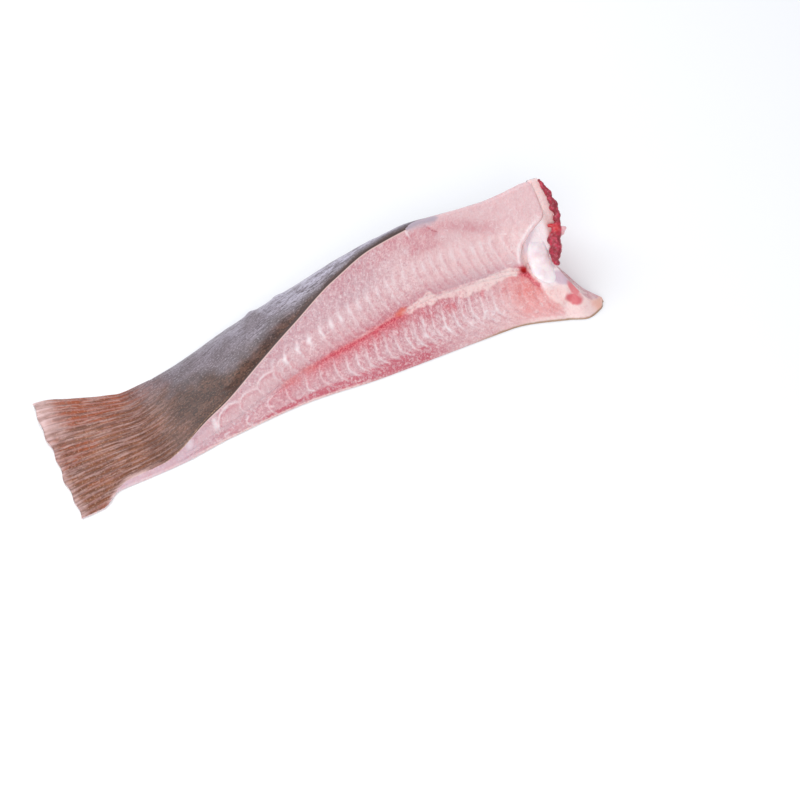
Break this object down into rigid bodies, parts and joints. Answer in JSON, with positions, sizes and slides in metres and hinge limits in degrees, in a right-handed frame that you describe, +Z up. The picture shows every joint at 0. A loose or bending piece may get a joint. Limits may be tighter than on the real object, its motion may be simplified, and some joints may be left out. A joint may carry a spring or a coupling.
{
  "type": "stingray wing",
  "caption": "Cut wing of a stingray with a bare, segmented cut face, grey-brown skin on the back, a thin ribbed fin margin and white cartilage at the thick end.",
  "frame": {"origin": "middle of the bounding box's base, on the flat underside", "axes": "+X towards the thick end, -Y towards the cut face, +Z up from the belly side to the back"},
  "size_m": [0.4112, 0.1132, 0.0668],
  "materials": {
    "upper_flesh_and_skin": "raw pink fish flesh, moist, under a grey-brown skin",
    "lower_flesh": "raw rosy fish flesh, moist, on a pale cream belly skin",
    "fin_rays": "thin fin with rusty brown rays and lilac webs, moist",
    "cartilage": "glossy white cartilage",
    "dark_tissue": "wet dark red lumpy tissue"
  },
  "bodies": {
    "root": {"upper_muscle": "upper_flesh_and_skin", "lower_muscle": "lower_flesh", "ray_layer": "fin_rays", "base_cartilage": "cartilage", "dark_tissue": "dark_tissue"}
  },
  "joints": []
}
